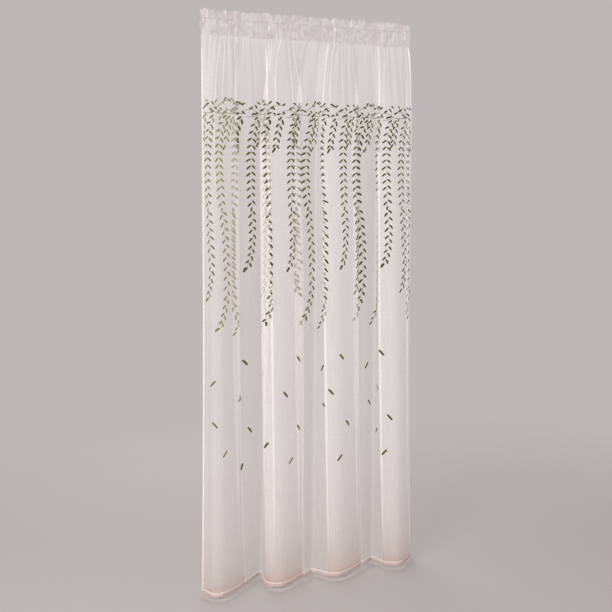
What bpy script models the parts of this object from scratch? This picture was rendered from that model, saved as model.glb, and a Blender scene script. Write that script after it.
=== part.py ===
"""Sheer voile curtain: a gathered rod-pocket heading with a ruffle, and one hung panel of cloth.

Metres, +Z up. The origin lies on the rod's line inside the pocket, at the middle of the width.
X runs along the rod, -Y is the front of the curtain, and the cloth hangs down along -Z.
"""

import bpy
import bmesh
import numpy as np

# Heights above the rod's line
RUFFLE_TOP = 0.043
STITCH_LINE = 0.017
POCKET_SEAM = -0.046
HEM = -2.087

# The heading's two ends
LEFT_END = -0.436
RIGHT_END = 0.438

# The heading's cloth: two walls around the rod's room, sewn into one strip above and below it
WALL = 0.0020
SEWN_STRIP = 0.0026
HEADING_COLUMNS = 88

# The pocket in section, a row for each height: half the depth from wall to wall
POCKET_COLUMNS = ("height", "half_depth")
POCKET = (
    (-0.0430, 0.0022),
    (-0.0280, 0.0078),
    (-0.0120, 0.0120),
    (0.0010, 0.0130),
    (0.0095, 0.0102),
    (0.0148, 0.0032),
)

# Gathers: how far each line of the heading stands off a straight one. Each wave is the mean of
# three sines with these lengths and starting angles, times WAVE_FULLNESS to reach its full depth.
WAVE_COLUMNS = ("reach", "lengths", "starts")
WAVES = {
    "seam": (0.0022, (0.047, 0.071, 0.113), (0.4, 2.1, 4.0)),
    "front_wall": (0.0022, (0.039, 0.053, 0.090), (1.0, 0.2, 3.1)),
    "back_wall": (0.0022, (0.044, 0.059, 0.083), (2.7, 5.1, 0.9)),
    "ruffle": (0.0065, (0.041, 0.064, 0.087), (0.0, 1.7, 2.9)),
    "ruffle_tip": (0.0025, (0.033, 0.052, 0.120), (0.8, 4.4, 1.9)),
}
WAVE_FULLNESS = 1.3

# The panel's cloth
PANEL_CLOTH = 0.0020
PANEL_TOP = POCKET_SEAM - 0.0005
STEPS_PER_KNOT = 3

# The folds in plan at the hem, from left to right, a row for each fold. The cloth steps forward
# from the trough to the brow, rounds the crest, and slopes back from the shoulder to the next trough.
# The laps say how far the step and the shoulder fold over themselves half way up, and the lean how
# far the shoulder stands to the right there.
FOLD_COLUMNS = (
    "trough_x", "trough_y", "brow_x", "brow_y", "crest_x", "crest_y",
    "shoulder_x", "shoulder_y", "step_lap", "shoulder_lap", "shoulder_lean",
)
FOLDS = (
    (-0.448, 0.012, -0.432, -0.052, -0.399, -0.064, -0.305, -0.012, 0.000, 0.034, -0.006),
    (-0.171, 0.088, -0.200, -0.034, -0.163, -0.070, -0.062, -0.024, 0.044, 0.036, 0.015),
    (0.021, 0.019, 0.056, -0.055, 0.098, -0.070, 0.203, -0.020, 0.020, 0.030, 0.010),
    (0.305, 0.037, 0.318, -0.040, 0.362, -0.072, 0.432, -0.030, 0.024, 0.014, 0.012),
)
RIGHT_EDGE = (0.471, 0.007)

# How the folds change on the way down, a row for each height. "down" is the share of the drop,
# "swell" the share of the folds' depth, "lap" that of their laps, "even" how much the cloth is
# still spread evenly along the seam, and "flare" the share of the hem's width.
LEVEL_COLUMNS = ("down", "swell", "lap", "even", "flare")
LEVELS = (
    (0.00, 0.03, 0.00, 1.00, 0.968),
    (0.03, 0.14, 0.30, 0.60, 0.968),
    (0.08, 0.26, 0.70, 0.25, 0.967),
    (0.18, 0.42, 0.95, 0.00, 0.966),
    (0.45, 0.74, 1.00, 0.00, 0.968),
    (0.75, 0.92, 0.60, 0.00, 0.982),
    (1.00, 1.00, 0.00, 0.00, 1.000),
)
ROWS_DOWN = (0.0, 0.015, 0.035, 0.065, 0.11, 0.18, 0.28, 0.40, 0.52, 0.64, 0.76, 0.87, 0.95, 1.0)

# The tuck behind the shoulder: where it lies from the shoulder at the hem, and how much further
# back where the cloth laps over
TUCK_STEP = (0.014, 0.012)
TUCK_DEPTH = 0.008

VOILE_COLOUR = (0.90, 0.87, 0.86, 1.0)
VOILE_COVER = 0.55
HEADING_COLOUR = (0.93, 0.90, 0.89, 1.0)
HEADING_COVER = 0.8
CLOTH_ROUGHNESS = 0.85
SHARP_EDGE = np.radians(50)


def clear_scene():
    """Remove every object of the scene."""
    for old in list(bpy.data.objects):
        bpy.data.objects.remove(old, do_unlink=True)


def cloth_material(name, colour, alpha):
    """A matt, partly see-through cloth."""
    material = bpy.data.materials.new(name)
    material.use_nodes = True
    shader = material.node_tree.nodes["Principled BSDF"]
    shader.inputs["Base Color"].default_value = colour
    shader.inputs["Roughness"].default_value = CLOTH_ROUGHNESS
    shader.inputs["Metallic"].default_value = 0.0
    shader.inputs["Alpha"].default_value = alpha
    return material


def add_object(name, mesh, material):
    """Link a mesh into the scene as a named object with one material."""
    mesh.materials.append(material)
    piece = bpy.data.objects.new(name, mesh)
    bpy.context.scene.collection.objects.link(piece)
    return piece


def hermite(places, values, tangents, at):
    """A smooth curve through values at places, with the tangents given, read at each of at."""
    places = np.asarray(places, float)
    at = np.asarray(at, float)
    left = np.clip(np.searchsorted(places, at, side="right") - 1, 0, len(places) - 2)
    step = places[left + 1] - places[left]
    t = (at - places[left]) / step
    shape = (-1,) + (1,) * (values.ndim - 1)
    t = t.reshape(shape)
    step = step.reshape(shape)
    return (
        (2 * t**3 - 3 * t**2 + 1) * values[left]
        + (t**3 - 2 * t**2 + t) * step * tangents[left]
        + (3 * t**2 - 2 * t**3) * values[left + 1]
        + (t**3 - t**2) * step * tangents[left + 1]
    )


def level_profile(column, down):
    """One column of LEVELS at each share of the drop, with no overshoot between its rows."""
    table = np.array(LEVELS)
    places = table[:, 0]
    values = table[:, LEVEL_COLUMNS.index(column)]
    slopes = np.diff(values) / np.diff(places)
    product = slopes[:-1] * slopes[1:]
    total = slopes[:-1] + slopes[1:]
    inner = np.where(product > 0, 2 * product / np.where(total == 0, 1, total), 0)
    tangents = np.concatenate([slopes[:1], inner, slopes[-1:]])
    return hermite(places, values, tangents, down)


def gather_wave(name, x):
    """One of WAVES at x: its reach times the mean of its sines."""
    wave = dict(zip(WAVE_COLUMNS, WAVES[name]))
    sines = [
        np.sin(2 * np.pi * x / length + start)
        for length, start in zip(wave["lengths"], wave["starts"])
    ]
    return wave["reach"] * WAVE_FULLNESS * sum(sines) / len(sines)


def fold_knots(down):
    """The plan's knots for each share of the drop: an array of rows, knots and (x, y)."""
    swell = level_profile("swell", down)
    lap = level_profile("lap", down)
    flare = level_profile("flare", down)
    knots = []

    def knot(x, y):
        knots.append(np.stack([x * flare, y * np.ones_like(flare)], axis=-1))

    ends = [(row[0], row[1]) for row in FOLDS[1:]] + [RIGHT_EDGE]
    for row, (end_x, end_y) in zip(FOLDS, ends):
        fold = dict(zip(FOLD_COLUMNS, row))
        half_lap = fold["step_lap"] / 2 * lap
        trough_x = fold["trough_x"] + half_lap
        brow_x = fold["brow_x"] - half_lap
        knot(trough_x, fold["trough_y"] * swell)
        knot((trough_x + brow_x) / 2, (fold["trough_y"] + fold["brow_y"]) / 2 * swell)
        knot(brow_x, fold["brow_y"] * swell)
        knot(fold["crest_x"], fold["crest_y"] * swell)
        shoulder_x = fold["shoulder_x"] + fold["shoulder_lean"] * lap
        tuck_x = shoulder_x + TUCK_STEP[0] - fold["shoulder_lap"] * lap
        tuck_y = (fold["shoulder_y"] + TUCK_STEP[1]) * swell + TUCK_DEPTH * lap
        knot(shoulder_x, fold["shoulder_y"] * swell)
        knot(tuck_x, tuck_y)
        knot((fold["shoulder_x"] + end_x) / 2, (fold["shoulder_y"] + end_y) / 2 * swell)
    knot(RIGHT_EDGE[0], RIGHT_EDGE[1] * swell)
    return np.stack(knots, axis=1)


def panel_surface(down, steps):
    """The panel's middle surface, as an array of rows, columns and (x, y, z).

    Each row of knots is joined by a smooth curve. Its cloth is then drawn along X towards an even
    spread, by the share that LEVELS gives, because the gathers in the heading are even.
    """
    down = np.asarray(down, float)
    knots = fold_knots(down)
    hem = fold_knots(np.array([1.0]))[0]
    chords = np.linalg.norm(np.diff(hem, axis=0), axis=1)
    places = np.concatenate([[0], np.cumsum(np.sqrt(chords))])
    at = np.interp(np.arange(0, (len(places) - 1) * steps + 1) / steps, np.arange(len(places)), places)
    across = np.swapaxes(knots, 0, 1)
    tangents = np.gradient(across, places, axis=0)
    curve = np.swapaxes(hermite(places, across, tangents, at), 0, 1)

    cloth_share = np.interp(at, places, np.concatenate([[0], np.cumsum(chords)]) / chords.sum())
    even = level_profile("even", down)[:, None]
    spread = LEFT_END + (RIGHT_END - LEFT_END) * cloth_share
    x = curve[..., 0] * (1 - even) + spread * even
    y = curve[..., 1] + gather_wave("seam", x) * even
    z = np.broadcast_to((PANEL_TOP + (HEM - PANEL_TOP) * down)[:, None], x.shape)
    return np.stack([x, y, z], axis=-1)


def grid_mesh(name, points):
    """A mesh of quads over a grid of points, with its faces to the front."""
    rows, columns = points.shape[:2]
    index = np.arange(rows * columns).reshape(rows, columns)
    quads = np.stack([index[:-1, :-1], index[1:, :-1], index[1:, 1:], index[:-1, 1:]], axis=-1)
    mesh = bpy.data.meshes.new(name)
    mesh.from_pydata(points.reshape(-1, 3).tolist(), [], quads.reshape(-1, 4).tolist())
    mesh.update()
    return mesh


def build_panel():
    """The hung cloth: the folded middle surface, given its thickness."""
    mesh = grid_mesh("panel", panel_surface(ROWS_DOWN, STEPS_PER_KNOT))
    mesh.shade_smooth()
    panel = add_object("panel", mesh, cloth_material("voile", VOILE_COLOUR, VOILE_COVER))
    thickness = panel.modifiers.new("cloth", "SOLIDIFY")
    thickness.thickness = PANEL_CLOTH
    thickness.offset = 0.0
    return panel


def heading_section(x):
    """The heading's outer and inner outlines in the Y-Z plane at x, each a closed ring of points."""
    base = gather_wave("seam", x)
    frill = base + gather_wave("ruffle", x)
    tip = RUFFLE_TOP - WAVES["ruffle_tip"][0] + gather_wave("ruffle_tip", x)
    pocket = dict(zip(POCKET_COLUMNS, np.array(POCKET).T))
    heights = pocket["height"]
    slack = np.sin(np.pi * (heights - POCKET_SEAM) / (STITCH_LINE - POCKET_SEAM))
    front = base * (1 - slack) - pocket["half_depth"] + gather_wave("front_wall", x) * slack
    back = base * (1 - slack) + pocket["half_depth"] + gather_wave("back_wall", x) * slack
    strip = SEWN_STRIP / 2
    outer = (
        [(base - strip, POCKET_SEAM)]
        + list(zip(front - WALL / 2, heights))
        + [(base - strip, STITCH_LINE), (frill - strip, tip), (frill + strip, tip)]
        + [(base + strip, STITCH_LINE)]
        + list(zip(back + WALL / 2, heights))[::-1]
        + [(base + strip, POCKET_SEAM)]
    )
    inner = list(zip(front + WALL / 2, heights)) + list(zip(back - WALL / 2, heights))[::-1]
    return outer, inner


def ring_of_verts(bm, x, outline):
    """The vertices of one closed outline at x."""
    return [bm.verts.new((x, y, z)) for y, z in outline]


def bridge_rings(bm, first, second):
    """Quads between two rings of the same number of vertices."""
    count = len(first)
    for i in range(count):
        after = (i + 1) % count
        bm.faces.new((first[i], first[after], second[after], second[i]))


def close_end(bm, outer, inner):
    """Fill the wall's cut end, between its outer and its inner ring."""
    edges = []
    for ring in (outer, inner):
        for i, vert in enumerate(ring):
            edges.append(bm.edges.get((vert, ring[(i + 1) % len(ring)])))
    bmesh.ops.triangle_fill(bm, use_beauty=True, use_dissolve=False, edges=edges)


def build_heading():
    """The ruffle and the open-ended pocket, as one wall swept along the rod's line."""
    bm = bmesh.new()
    rings = []
    for x in np.linspace(LEFT_END, RIGHT_END, HEADING_COLUMNS + 1):
        outer, inner = heading_section(x)
        rings.append((ring_of_verts(bm, x, outer), ring_of_verts(bm, x, inner)))
    for (outer, inner), (next_outer, next_inner) in zip(rings, rings[1:]):
        bridge_rings(bm, outer, next_outer)
        bridge_rings(bm, inner, next_inner)
    close_end(bm, *rings[0])
    close_end(bm, *rings[-1])
    bmesh.ops.recalc_face_normals(bm, faces=bm.faces)
    mesh = bpy.data.meshes.new("heading")
    bm.to_mesh(mesh)
    bm.free()
    mesh.shade_smooth()
    mesh.set_sharp_from_angle(angle=SHARP_EDGE)
    material = cloth_material("gathered voile", HEADING_COLOUR, HEADING_COVER)
    return add_object("heading", mesh, material)


def main():
    clear_scene()
    hanger = bpy.data.objects.new("rod_line", None)
    bpy.context.scene.collection.objects.link(hanger)
    for piece in (build_heading(), build_panel()):
        piece.parent = hanger


main()
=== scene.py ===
# %% [markdown]
# A sheer voile curtain
#
# One length of thin white voile is gathered on a rod pocket and falls in four large, uneven folds.
# Willow-like strands of leaves are embroidered on its upper half, and single leaves drift below.
# Everything is in metres. The origin is on the rod's line in the middle of the pocket, X runs along
# the rod, -Y is the front, and the cloth hangs down along -Z.
#
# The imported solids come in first. They say how large the curtain is, and finer cloth, made below,
# stands in for each of them.

import bpy
import numpy as np
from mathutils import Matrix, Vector


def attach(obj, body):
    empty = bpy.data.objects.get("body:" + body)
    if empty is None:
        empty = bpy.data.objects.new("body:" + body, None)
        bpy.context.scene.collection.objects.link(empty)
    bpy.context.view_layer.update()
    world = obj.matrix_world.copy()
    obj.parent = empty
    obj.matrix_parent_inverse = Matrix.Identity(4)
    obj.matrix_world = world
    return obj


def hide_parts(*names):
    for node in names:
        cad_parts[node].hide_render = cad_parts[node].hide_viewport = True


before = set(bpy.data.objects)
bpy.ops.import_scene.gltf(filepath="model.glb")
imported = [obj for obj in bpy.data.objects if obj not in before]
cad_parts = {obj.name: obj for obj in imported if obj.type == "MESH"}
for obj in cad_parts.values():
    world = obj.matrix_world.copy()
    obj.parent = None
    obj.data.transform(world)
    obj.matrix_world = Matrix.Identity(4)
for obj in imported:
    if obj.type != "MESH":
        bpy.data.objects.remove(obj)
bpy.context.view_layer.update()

# %% [markdown]
# The camera stands to the left of the curtain at about two thirds of its height and looks slightly
# down. A long lens keeps the hem and the heading nearly parallel. The view transform is the plain
# one, because the softer film curve would turn white cloth grey.

# %% The camera
CAMERA_PLACE = (-2.0533, -3.8308, -0.5704)
CAMERA_TURN_DEG = (83.92, 0.0, -28.01)
CAMERA_LENS = 67.65

camera_data = bpy.data.cameras.new("camera")
camera_data.lens = CAMERA_LENS
camera = bpy.data.objects.new("camera", camera_data)
camera.location = CAMERA_PLACE
camera.rotation_euler = np.radians(CAMERA_TURN_DEG)
bpy.context.scene.collection.objects.link(camera)
bpy.context.scene.camera = camera
bpy.context.scene.view_settings.view_transform = "Standard"
print("camera at", CAMERA_PLACE)

# %% [markdown]
# White voile shows only against something darker than itself, so the studio is a pale warm grey.
# The world gives that grey all round and lights the cloth evenly. A large soft lamp from the left
# front shapes the folds, a weaker one fills from the right, and one behind shines through the cloth.

# %% The studio
STUDIO_COLOUR = (0.510, 0.478, 0.470)

LAMP_COLUMNS = ("place", "aim", "size", "power", "colour")
LAMPS = {
    "key_lamp": ((-3.4, -2.7, 0.2), (0.0, 0.0, -1.1), 1.8, 205.0, (1.0, 0.99, 0.97)),
    "fill_lamp": ((3.0, -4.2, 0.2), (0.0, 0.0, -1.0), 3.0, 58.0, (1.0, 0.98, 0.98)),
    "back_lamp": ((0.9, 3.2, 0.6), (0.0, 0.0, -0.9), 2.4, 92.0, (1.0, 0.99, 0.98)),
}

world = bpy.data.worlds.new("studio")
world.use_nodes = True
world.node_tree.nodes["Background"].inputs["Color"].default_value = (*STUDIO_COLOUR, 1.0)
bpy.context.scene.world = world

for name, row in LAMPS.items():
    lamp = dict(zip(LAMP_COLUMNS, row))
    lamp_data = bpy.data.lights.new(name, "AREA")
    lamp_data.energy = lamp["power"]
    lamp_data.size = lamp["size"]
    lamp_data.color = lamp["colour"]
    lamp_object = bpy.data.objects.new(name, lamp_data)
    lamp_object.location = lamp["place"]
    aim = Vector(lamp["aim"]) - Vector(lamp["place"])
    lamp_object.rotation_euler = aim.to_track_quat("-Z", "Y").to_euler()
    bpy.context.scene.collection.objects.link(lamp_object)
print("lamps:", ", ".join(LAMPS))

# %% [markdown]
# Every material is built from nodes. A few small helpers keep that short: a socket gets either a
# plain value or another node's output.

# %% Helpers for materials
def add_node(tree, kind, inputs=None, **settings):
    """A node of that kind. inputs maps a socket's name or number to a value or to an output."""
    node = tree.nodes.new(kind)
    for name, value in settings.items():
        setattr(node, name, value)
    for name, value in (inputs or {}).items():
        if isinstance(value, bpy.types.NodeSocket):
            tree.links.new(value, node.inputs[name])
        else:
            node.inputs[name].default_value = value
    return node


def maths(tree, operation, *values, clamp=False):
    """The output of a Math node over the values or outputs given."""
    node = add_node(tree, "ShaderNodeMath", dict(enumerate(values)), operation=operation, use_clamp=clamp)
    return node.outputs[0]


def blend_colours(tree, share, first, second):
    """The first colour where share is 0 and the second where it is 1.

    A Mix node that mixes colours has them on its inputs 6 and 7, and its result on its output 2.
    """
    colours = {0: share}
    for socket, colour in ((6, first), (7, second)):
        colours[socket] = colour if isinstance(colour, bpy.types.NodeSocket) else (*colour, 1.0)
    return add_node(tree, "ShaderNodeMix", colours, data_type="RGBA").outputs[2]


def noise(tree, place, scale, detail=2.0):
    """Soft random values between 0 and 1, about a scale-th of a metre apart."""
    return add_node(
        tree, "ShaderNodeTexNoise", {"Vector": place, "Scale": scale, "Detail": detail}
    ).outputs["Fac"]


def stripes(tree, coordinate, pitch):
    """A wave between 0 and 1 along a coordinate in metres: half of one plus the cosine."""
    angle = maths(tree, "MULTIPLY", coordinate, 2 * np.pi / pitch)
    return maths(tree, "MULTIPLY_ADD", maths(tree, "COSINE", angle), 0.5, 0.5)


def smooth_ramp(tree, value, low, high):
    """0 up to low, 1 from high on, and a smooth step between them."""
    return add_node(
        tree, "ShaderNodeMapRange", {"Value": value, "From Min": low, "From Max": high},
        interpolation_type="SMOOTHSTEP",
    ).outputs["Result"]


def bumped(tree, height, strength, distance):
    """A surface direction that is tilted by a pattern of heights."""
    return add_node(
        tree, "ShaderNodeBump", {"Height": height, "Strength": strength, "Distance": distance}
    ).outputs[0]


def metres(tree):
    """The piece's own UV map, in metres: the place, and its two coordinates."""
    place = add_node(tree, "ShaderNodeUVMap", uv_map="metres").outputs[0]
    split = add_node(tree, "ShaderNodeSeparateXYZ", {0: place})
    return place, split.outputs[0], split.outputs[1]


def point_value(tree, label):
    """A value that the mesh holds for each of its points."""
    return add_node(tree, "ShaderNodeAttribute", attribute_name=label).outputs["Fac"]


def new_material(name):
    """An empty node material and its tree."""
    material = bpy.data.materials.new(name)
    material.use_nodes = True
    material.node_tree.nodes.clear()
    return material, material.node_tree


def finish_material(tree, shader):
    """Wire a shader to the material's output."""
    add_node(tree, "ShaderNodeOutputMaterial", {"Surface": shader})


# %% [markdown]
# New pieces are grids of points, worked out as whole arrays and handed to Blender in one go. A sheet
# is a grid of rows and columns. A thread, a leaf or a hem is a closed tube: rings of points along a
# path, with a flat cap at each end. Its UV map holds metres along and across, so that weave and
# stitches follow the piece.

# %% Helpers for meshes
def make_piece(name, points, faces, uv, material, values=None):
    """A smooth mesh object on the frame. uv and each array in values have one entry for each point."""
    mesh = bpy.data.meshes.new(name)
    mesh.from_pydata(points.reshape(-1, 3).tolist(), [], faces)
    corner = np.empty(len(mesh.loops), int)
    mesh.loops.foreach_get("vertex_index", corner)
    layer = mesh.uv_layers.new(name="metres")
    layer.data.foreach_set("uv", uv.reshape(-1, 2)[corner].astype(np.float32).ravel())
    for label, value in (values or {}).items():
        attribute = mesh.attributes.new(label, "FLOAT", "POINT")
        attribute.data.foreach_set("value", np.asarray(value, np.float32).ravel())
    mesh.shade_smooth()
    mesh.materials.append(material)
    piece = bpy.data.objects.new(name, mesh)
    bpy.context.scene.collection.objects.link(piece)
    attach(piece, "root")
    return piece


def grid_faces(rows, columns):
    """Quads over a grid of points, facing the front."""
    index = np.arange(rows * columns).reshape(rows, columns)
    corners = [index[:-1, :-1], index[1:, :-1], index[1:, 1:], index[:-1, 1:]]
    return np.stack(corners, axis=-1).reshape(-1, 4).tolist()


def tube_faces(count, rings, sides):
    """Quads round count tubes of rings x sides points, and a cap on both ends of each, facing out."""
    index = np.arange(count * rings * sides).reshape(count, rings, sides)
    after = np.roll(index, -1, axis=2)
    corners = [index[:, :-1], after[:, :-1], after[:, 1:], index[:, 1:]]
    quads = np.stack(corners, axis=-1).reshape(-1, 4)
    caps = np.concatenate([index[:, 0, ::-1], index[:, -1]])
    return quads.tolist() + caps.tolist()


def sine_sum(place, table):
    """A sum of sines over place: the table has a row of length, depth and starting angle for each."""
    place = np.asarray(place, float)
    return sum(depth * np.sin(2 * np.pi * place / length + start) for length, depth, start in table)


# %% [markdown]
# How the cloth hangs
#
# The folds are described in plan, by a few knots for each fold at the hem: the cloth steps forward
# from a trough to a brow, rounds a crest and slopes back from its shoulder to the next trough. A
# second table says how the folds grow on the way down, from nothing at the seam to full depth at the
# hem. These are the same tables that the solids come from, so the finer cloth lies on them. A cloth
# simulation would also give folds, but not these ones, and the folds are what one knows it by.

# %% The folds, as in the solids
RUFFLE_TOP = 0.043
STITCH_LINE = 0.017
POCKET_SEAM = -0.046
PANEL_TOP = POCKET_SEAM - 0.0005
HEM = -2.087
LEFT_END = -0.436
RIGHT_END = 0.438

# The knots of each fold at the hem, in plan, and how far its step and its shoulder lap halfway down.
FOLD_COLUMNS = (
    "trough_x", "trough_y", "brow_x", "brow_y", "crest_x", "crest_y",
    "shoulder_x", "shoulder_y", "step_lap", "shoulder_lap", "shoulder_lean",
)
FOLDS = (
    (-0.448, 0.012, -0.432, -0.052, -0.399, -0.064, -0.305, -0.012, 0.000, 0.034, -0.006),
    (-0.171, 0.088, -0.200, -0.034, -0.163, -0.070, -0.062, -0.024, 0.044, 0.036, 0.015),
    (0.021, 0.019, 0.056, -0.055, 0.098, -0.070, 0.203, -0.020, 0.020, 0.030, 0.010),
    (0.305, 0.037, 0.318, -0.040, 0.362, -0.072, 0.432, -0.030, 0.024, 0.014, 0.012),
)
RIGHT_EDGE = (0.471, 0.007)
# Behind its shoulder the cloth tucks in by a step, and by some more where the fold laps.
TUCK_STEP = (0.014, 0.012)
TUCK_DEPTH = 0.008

# At each share of the drop: the depth of the folds, how far they lap, how evenly the cloth is spread
# along the rod, and its whole width, as shares of the full values.
LEVEL_COLUMNS = ("down", "swell", "lap", "even", "flare")
LEVELS = (
    (0.00, 0.03, 0.00, 1.00, 0.968),
    (0.03, 0.14, 0.30, 0.60, 0.968),
    (0.08, 0.26, 0.70, 0.25, 0.967),
    (0.18, 0.42, 0.95, 0.00, 0.966),
    (0.45, 0.74, 1.00, 0.00, 0.968),
    (0.75, 0.92, 0.60, 0.00, 0.982),
    (1.00, 1.00, 0.00, 0.00, 1.000),
)
SEAM_WAVE = ((0.047, 0.00095, 0.4), (0.071, 0.00095, 2.1), (0.113, 0.00095, 4.0))


def hermite(places, values, tangents, at):
    """A smooth curve through values at places, with the tangents given, read at each of at.

    Between two places it is the cubic that has the given values and tangents at both of them.
    """
    left = np.clip(np.searchsorted(places, at, side="right") - 1, 0, len(places) - 2)
    step = places[left + 1] - places[left]
    t = (at - places[left]) / step
    shape = (-1,) + (1,) * (values.ndim - 1)
    t = t.reshape(shape)
    step = step.reshape(shape)
    return (
        (2 * t**3 - 3 * t**2 + 1) * values[left]
        + (t**3 - 2 * t**2 + t) * step * tangents[left]
        + (3 * t**2 - 2 * t**3) * values[left + 1]
        + (t**3 - t**2) * step * tangents[left + 1]
    )


def level_profile(column, down):
    """One column of LEVELS at each share of the drop, with no overshoot between its rows.

    A row's tangent is the harmonic mean of the slopes before and after it, and level where they turn.
    """
    table = np.array(LEVELS)
    places = table[:, 0]
    values = table[:, LEVEL_COLUMNS.index(column)]
    slopes = np.diff(values) / np.diff(places)
    product = slopes[:-1] * slopes[1:]
    total = slopes[:-1] + slopes[1:]
    inner = np.where(product > 0, 2 * product / np.where(total == 0, 1, total), 0)
    return hermite(places, values, np.concatenate([slopes[:1], inner, slopes[-1:]]), down)


def fold_knots(down):
    """The plan's knots at each share of the drop: rows, knots and (x, y).

    Each y is the knot's depth at the hem times the swell. The step's and the shoulder's x slide past
    their neighbours by the lap, and every x is scaled by the flare.
    """
    swell, lap, flare = (level_profile(column, down) for column in ("swell", "lap", "flare"))
    knots = []
    ends = [row[:2] for row in FOLDS[1:]] + [RIGHT_EDGE]
    for row, (end_x, end_y) in zip(FOLDS, ends):
        fold = dict(zip(FOLD_COLUMNS, row))
        trough_x = fold["trough_x"] + fold["step_lap"] / 2 * lap
        brow_x = fold["brow_x"] - fold["step_lap"] / 2 * lap
        shoulder_x = fold["shoulder_x"] + fold["shoulder_lean"] * lap
        tuck_x = shoulder_x + TUCK_STEP[0] - fold["shoulder_lap"] * lap
        tuck_y = (fold["shoulder_y"] + TUCK_STEP[1]) * swell + TUCK_DEPTH * lap
        knots += [
            (trough_x, fold["trough_y"] * swell),
            ((trough_x + brow_x) / 2, (fold["trough_y"] + fold["brow_y"]) / 2 * swell),
            (brow_x, fold["brow_y"] * swell),
            (fold["crest_x"], fold["crest_y"] * swell),
            (shoulder_x, fold["shoulder_y"] * swell),
            (tuck_x, tuck_y),
            ((fold["shoulder_x"] + end_x) / 2, (fold["shoulder_y"] + end_y) / 2 * swell),
        ]
    knots.append((RIGHT_EDGE[0], RIGHT_EDGE[1] * swell))
    return np.stack([np.stack([x * flare, y * np.ones_like(flare)], axis=-1) for x, y in knots], axis=1)


# %% [markdown]
# Seams, creases and embroidery belong to places on the cloth, not to places in the air. So every
# point has a coordinate of its own: metres across from the left edge. The folded line of the hem is
# drawn finely and measured, and its length is the width of the flat cloth.

# %% The cloth's own coordinate
READINGS_PER_KNOT = 60

hem_knots = fold_knots(np.array([1.0]))[0]
chords = np.linalg.norm(np.diff(hem_knots, axis=0), axis=1)
knot_places = np.concatenate([[0], np.cumsum(np.sqrt(chords))])
fine_index = np.arange(0, len(chords) * READINGS_PER_KNOT + 1) / READINGS_PER_KNOT
fine_places = np.interp(fine_index, np.arange(len(knot_places)), knot_places)
hem_line = hermite(knot_places, hem_knots, np.gradient(hem_knots, knot_places, axis=0), fine_places)
hem_length = np.concatenate([[0], np.cumsum(np.linalg.norm(np.diff(hem_line, axis=0), axis=1))])
CLOTH_WIDTH = hem_length[-1]
print("cloth width along the hem: %.3f m" % CLOTH_WIDTH)


def hung_cloth(across, down):
    """The folded middle surface: rows by down, columns by across, and (x, y, z).

    Each row's knots are joined by a smooth curve. Its x is then drawn towards an even spread, by the
    share that LEVELS gives, because the gathers at the seam are even. z falls evenly with down.
    """
    at = np.interp(across, hem_length, fine_places)
    knots = np.swapaxes(fold_knots(down), 0, 1)
    curve = np.swapaxes(hermite(knot_places, knots, np.gradient(knots, knot_places, axis=0), at), 0, 1)
    share = np.interp(at, knot_places, np.concatenate([[0], np.cumsum(chords)]) / chords.sum())
    even = level_profile("even", down)[:, None]
    spread = LEFT_END + (RIGHT_END - LEFT_END) * share
    x = curve[..., 0] * (1 - even) + spread * even
    y = curve[..., 1] + sine_sum(x, SEAM_WAVE) * even
    z = np.broadcast_to((PANEL_TOP + (HEM - PANEL_TOP) * down)[:, None], x.shape)
    return np.stack([x, y, z], axis=-1)


# %% [markdown]
# Gathers and creases
#
# Below the seam the cloth is full of small pleats. They run together and die out one after another,
# the narrow ones first. They are a few uneven waves whose depth rises just under the seam and fades
# with a reach of its own, and a table says where along the seam they are deep. On top of those come
# the creases that catch the eye, listed one by one. In each the cloth doubles back on itself in a flat
# S, so three layers lie over each other and read as a bright line. The S is one bump function, t
# times exp(-t squared / 2), used twice: along the cloth to turn it back, and out of it to keep the
# layers apart. Both could be sculpted, but as sums of waves and bumps they fit a grid of any size.

# %% Gathers and creases under the heading
GATHER_COLUMNS = ("length", "depth", "rise", "reach", "start")
GATHERS = (
    (0.0170, 0.0015, 0.006, 0.05, 2.0),
    (0.0270, 0.0024, 0.015, 0.10, 4.4),
    (0.0430, 0.0030, 0.030, 0.20, 1.1),
    (0.0710, 0.0022, 0.050, 0.40, 5.2),
    (0.1130, 0.0012, 0.080, 1.80, 0.6),
)
GATHER_SHARES = (
    (0.00, 0.65), (0.20, 0.65), (0.23, 0.30), (0.38, 0.30), (0.42, 0.45), (0.45, 0.12), (0.60, 0.12),
    (0.64, 0.30), (0.79, 0.30), (0.83, 0.60), (1.00, 0.60), (1.03, 0.30), (1.14, 0.30), (1.18, 0.65),
    (1.40, 0.65),
)
GATHER_DRIFT = ((0.31, 0.012, 1.0), (0.17, 0.007, 2.0))
GATHER_LEAN = 0.035
GATHER_LEAN_RATE = 9
SEAM_SHARE = 0.05

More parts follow.
